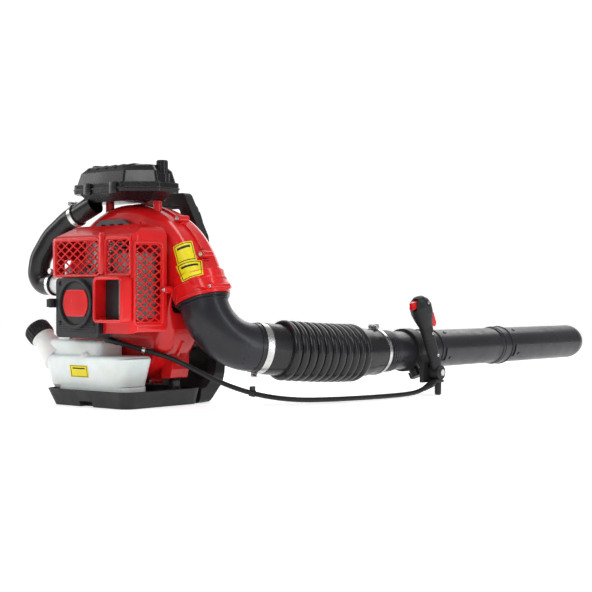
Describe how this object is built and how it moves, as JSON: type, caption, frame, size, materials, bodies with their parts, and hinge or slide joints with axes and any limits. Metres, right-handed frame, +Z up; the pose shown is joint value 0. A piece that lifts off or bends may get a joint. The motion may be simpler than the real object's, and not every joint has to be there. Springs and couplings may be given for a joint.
{
  "type": "backpack leaf blower",
  "caption": "Two-stroke backpack blower: engine and fan case on a frame, elbow, ribbed hose, control handle and bayonet-jointed blower pipes.",
  "frame": {"origin": "on the floor, at the middle of the base's flat underside's reference: below the crank axis and in the fan's middle plane", "axes": "+Z up, +Y forward along the blower tube, +X to the wearer's right, the side of the tube"},
  "size_m": [0.6012, 1.48, 0.487],
  "materials": {
    "black_plastic": "semi-gloss moulded black",
    "tube_plastic": "semi-gloss dark grey",
    "red_plastic": "bright glossy red",
    "tank_plastic": "milky translucent white",
    "rubber": "smooth black rubber",
    "pad_fabric": "black woven fabric",
    "bright_steel": "bright zinc-plated steel",
    "cast_aluminium": "cast, satin",
    "grey_plastic": "satin grey"
  },
  "bodies": {
    "root": {"base_tray": "black_plastic", "back_frame": "black_plastic", "back_pad": "pad_fabric", "shoulder_straps": "pad_fabric", "strap_webbing": "pad_fabric", "strap_buckles": "black_plastic", "vibration_mounts": "rubber", "fan_case_rear": "red_plastic", "fan_case_front": "red_plastic", "housing_screws": "bright_steel", "intake_guard": "black_plastic", "crankcase": "cast_aluminium", "cylinder": "cast_aluminium", "piston": "cast_aluminium", "spark_plug": "bright_steel", "muffler": "bright_steel", "intake_manifold": "grey_plastic", "carburettor": "cast_aluminium", "ignition_coil": "bright_steel", "engine_cover": "red_plastic", "air_guide": "grey_plastic", "starter_case": "black_plastic", "starter_badge": "red_plastic", "fuel_tank": "tank_plastic", "fuel_line": "rubber", "air_cleaner_base": "black_plastic", "air_cleaner_cover": "black_plastic", "filter_element": "pad_fabric", "intake_duct": "rubber", "duct_clamps": "bright_steel", "cable_clip": "bright_steel", "cable_body": "rubber"},
    "crank": {"crankshaft": "bright_steel", "flywheel": "cast_aluminium", "impeller": "grey_plastic"},
    "pulley": {"starter_pulley": "grey_plastic"},
    "grip": {"starter_grip": "red_plastic", "starter_rope": "pad_fabric"},
    "cap": {"fuel_cap": "black_plastic"},
    "knob_right": {"cleaner_knob_right": "black_plastic"},
    "knob_left": {"cleaner_knob_left": "black_plastic"},
    "throttle": {"throttle_shaft": "bright_steel"},
    "elbow": {"elbow": "tube_plastic", "clamp_rear": "bright_steel", "bellows": "rubber", "cable_middle": "rubber", "cable_hook": "tube_plastic"},
    "cuff": {"swivel_sleeve": "tube_plastic", "clamp_front": "bright_steel", "cable_handle": "rubber"},
    "pipe": {"swivel_pipe": "tube_plastic", "handle_bracket": "tube_plastic", "handle_bolt": "bright_steel"},
    "bracket_knob": {"bracket_knob": "tube_plastic"},
    "handle": {"handle_left": "tube_plastic", "handle_right": "tube_plastic"},
    "trigger": {"throttle_trigger": "red_plastic"},
    "switch": {"stop_switch": "red_plastic"},
    "mid_pipe": {"mid_pipe": "tube_plastic"},
    "nozzle": {"nozzle": "tube_plastic"}
  },
  "joints": [
    {"name": "crank_spin", "type": "hinge", "parent": "root", "child": "crank", "pos_m": [0, 0, 0.204], "axis": [0, 1, 0], "continuous": true},
    {"name": "starter_pull", "type": "slide", "parent": "root", "child": "grip", "axis": [-1, 0, 0], "range_m": [0, 0.8], "stiffness_N_per_m": 20, "springref_m": -0.5, "deforming": ["starter_rope"]},
    {"name": "pulley_turn", "type": "hinge", "parent": "root", "child": "pulley", "pos_m": [0, 0, 0.204], "axis": [0, 1, 0], "range_deg": [0, 1560]},
    {"name": "fuel_cap_turn", "type": "hinge", "parent": "root", "child": "cap", "pos_m": [-0.118, -0.108, 0.092], "axis": [-0.74, -0.06, 0.67], "range_deg": [0, 270]},
    {"name": "cleaner_knob_right_turn", "type": "hinge", "parent": "root", "child": "knob_right", "pos_m": [0.102, -0.028, 0.45], "axis": [0, 0, 1], "range_deg": [0, 720]},
    {"name": "cleaner_knob_left_turn", "type": "hinge", "parent": "root", "child": "knob_left", "pos_m": [-0.086, -0.03, 0.45], "axis": [0, 0, 1], "range_deg": [0, 720]},
    {"name": "throttle_turn", "type": "hinge", "parent": "root", "child": "throttle", "pos_m": [-0.104, -0.086, 0.242], "axis": [0, 1, 0], "range_deg": [0, 70]},
    {"name": "elbow_turn", "type": "hinge", "parent": "root", "child": "elbow", "pos_m": [0.187, 0, 0.21], "axis": [0.326, 0, -0.9454], "range_deg": [-12, 25], "deforming": ["cable_body"]},
    {"name": "tube_pitch", "type": "hinge", "parent": "elbow", "child": "cuff", "pos_m": [0.285, 0.255, 0.09817], "axis": [1, 0, 0], "range_deg": [-25, 30], "deforming": ["bellows", "cable_middle"]},
    {"name": "pipe_roll", "type": "hinge", "parent": "cuff", "child": "pipe", "pos_m": [0.29, 0.45, 0.09817], "axis": [0, 1, 0], "range_deg": [-40, 25], "deforming": ["cable_handle"]},
    {"name": "bracket_knob_turn", "type": "hinge", "parent": "pipe", "child": "bracket_knob", "pos_m": [0.29, 0.54, 0.09817], "axis": [0.4592, 0, -0.8884], "range_deg": [0, 720]},
    {"name": "handle_tilt", "type": "hinge", "parent": "pipe", "child": "handle", "pos_m": [0.358, 0.56, 0.05], "axis": [1, 0, 0], "range_deg": [-25, 25]},
    {"name": "throttle_squeeze", "type": "hinge", "parent": "handle", "child": "trigger", "pos_m": [0.354, 0.517, 0.196], "axis": [1, 0, 0], "range_deg": [-16, 0], "stiffness_Nm_per_rad": 0.6, "springref_deg": 17.19},
    {"name": "stop_slide", "type": "slide", "parent": "handle", "child": "switch", "axis": [0, 0.3489, 0.9371], "range_m": [0, 0.003]},
    {"name": "mid_pipe_twist", "type": "hinge", "parent": "pipe", "child": "mid_pipe", "pos_m": [0.29, 0.61, 0.09817], "axis": [0, 1, 0], "range_deg": [0, 30]},
    {"name": "nozzle_twist", "type": "hinge", "parent": "mid_pipe", "child": "nozzle", "pos_m": [0.29, 0.91, 0.09817], "axis": [0, 1, 0], "range_deg": [0, 30]}
  ],
  "couplings": [
    {"joint": "pulley_turn", "follows": "starter_pull", "rad_per_m": 33.333},
    {"joint": "throttle_turn", "follows": "throttle_squeeze", "ratio": -4.375}
  ]
}
